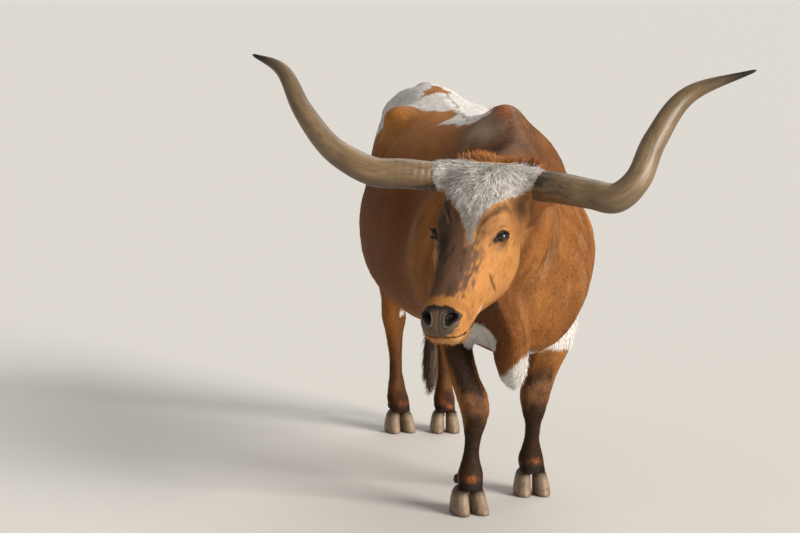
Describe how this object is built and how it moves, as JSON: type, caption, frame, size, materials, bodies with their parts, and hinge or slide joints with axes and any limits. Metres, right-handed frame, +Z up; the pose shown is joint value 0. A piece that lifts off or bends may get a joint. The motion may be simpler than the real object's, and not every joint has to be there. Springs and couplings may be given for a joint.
{
  "type": "texas longhorn",
  "caption": "Life-size standing longhorn steer with long upswept horns, head lowered and turned to its right, a still model that stands on its own feet.",
  "frame": {"origin": "on the floor, under the middle of the whole animal's box", "axes": "+Z up, -Y the way the trunk faces, +X the animal's own left side"},
  "size_m": [1.3416, 2.3162, 1.4376],
  "materials": {
    "coat": "short glossy orange-brown hair with white markings",
    "dark_coat": "short blackish-brown hair",
    "horn": "smooth tan horn, mottled grey, black at the tips",
    "claw": "ringed grey-tan hoof",
    "eye": "wet dark brown"
  },
  "bodies": {
    "root": {"trunk": "coat", "head": "coat", "neck": "coat", "dewlap": "coat", "tail": "coat", "tail_switch": "dark_coat", "ear_left": "coat", "ear_right": "coat", "eye_left": "eye", "eye_right": "eye", "horn_left": "horn", "horn_right": "horn", "foreleg_right": "dark_coat", "foreleg_right_claw_outer": "claw", "foreleg_right_claw_inner": "claw", "foreleg_right_dewclaw_outer": "claw", "foreleg_right_dewclaw_inner": "claw", "foreleg_left": "dark_coat", "foreleg_left_claw_outer": "claw", "foreleg_left_claw_inner": "claw", "foreleg_left_dewclaw_outer": "claw", "foreleg_left_dewclaw_inner": "claw", "hindleg_right": "dark_coat", "hindleg_right_claw_outer": "claw", "hindleg_right_claw_inner": "claw", "hindleg_right_dewclaw_outer": "claw", "hindleg_right_dewclaw_inner": "claw", "hindleg_left": "dark_coat", "hindleg_left_claw_outer": "claw", "hindleg_left_claw_inner": "claw", "hindleg_left_dewclaw_outer": "claw", "hindleg_left_dewclaw_inner": "claw"}
  },
  "joints": []
}
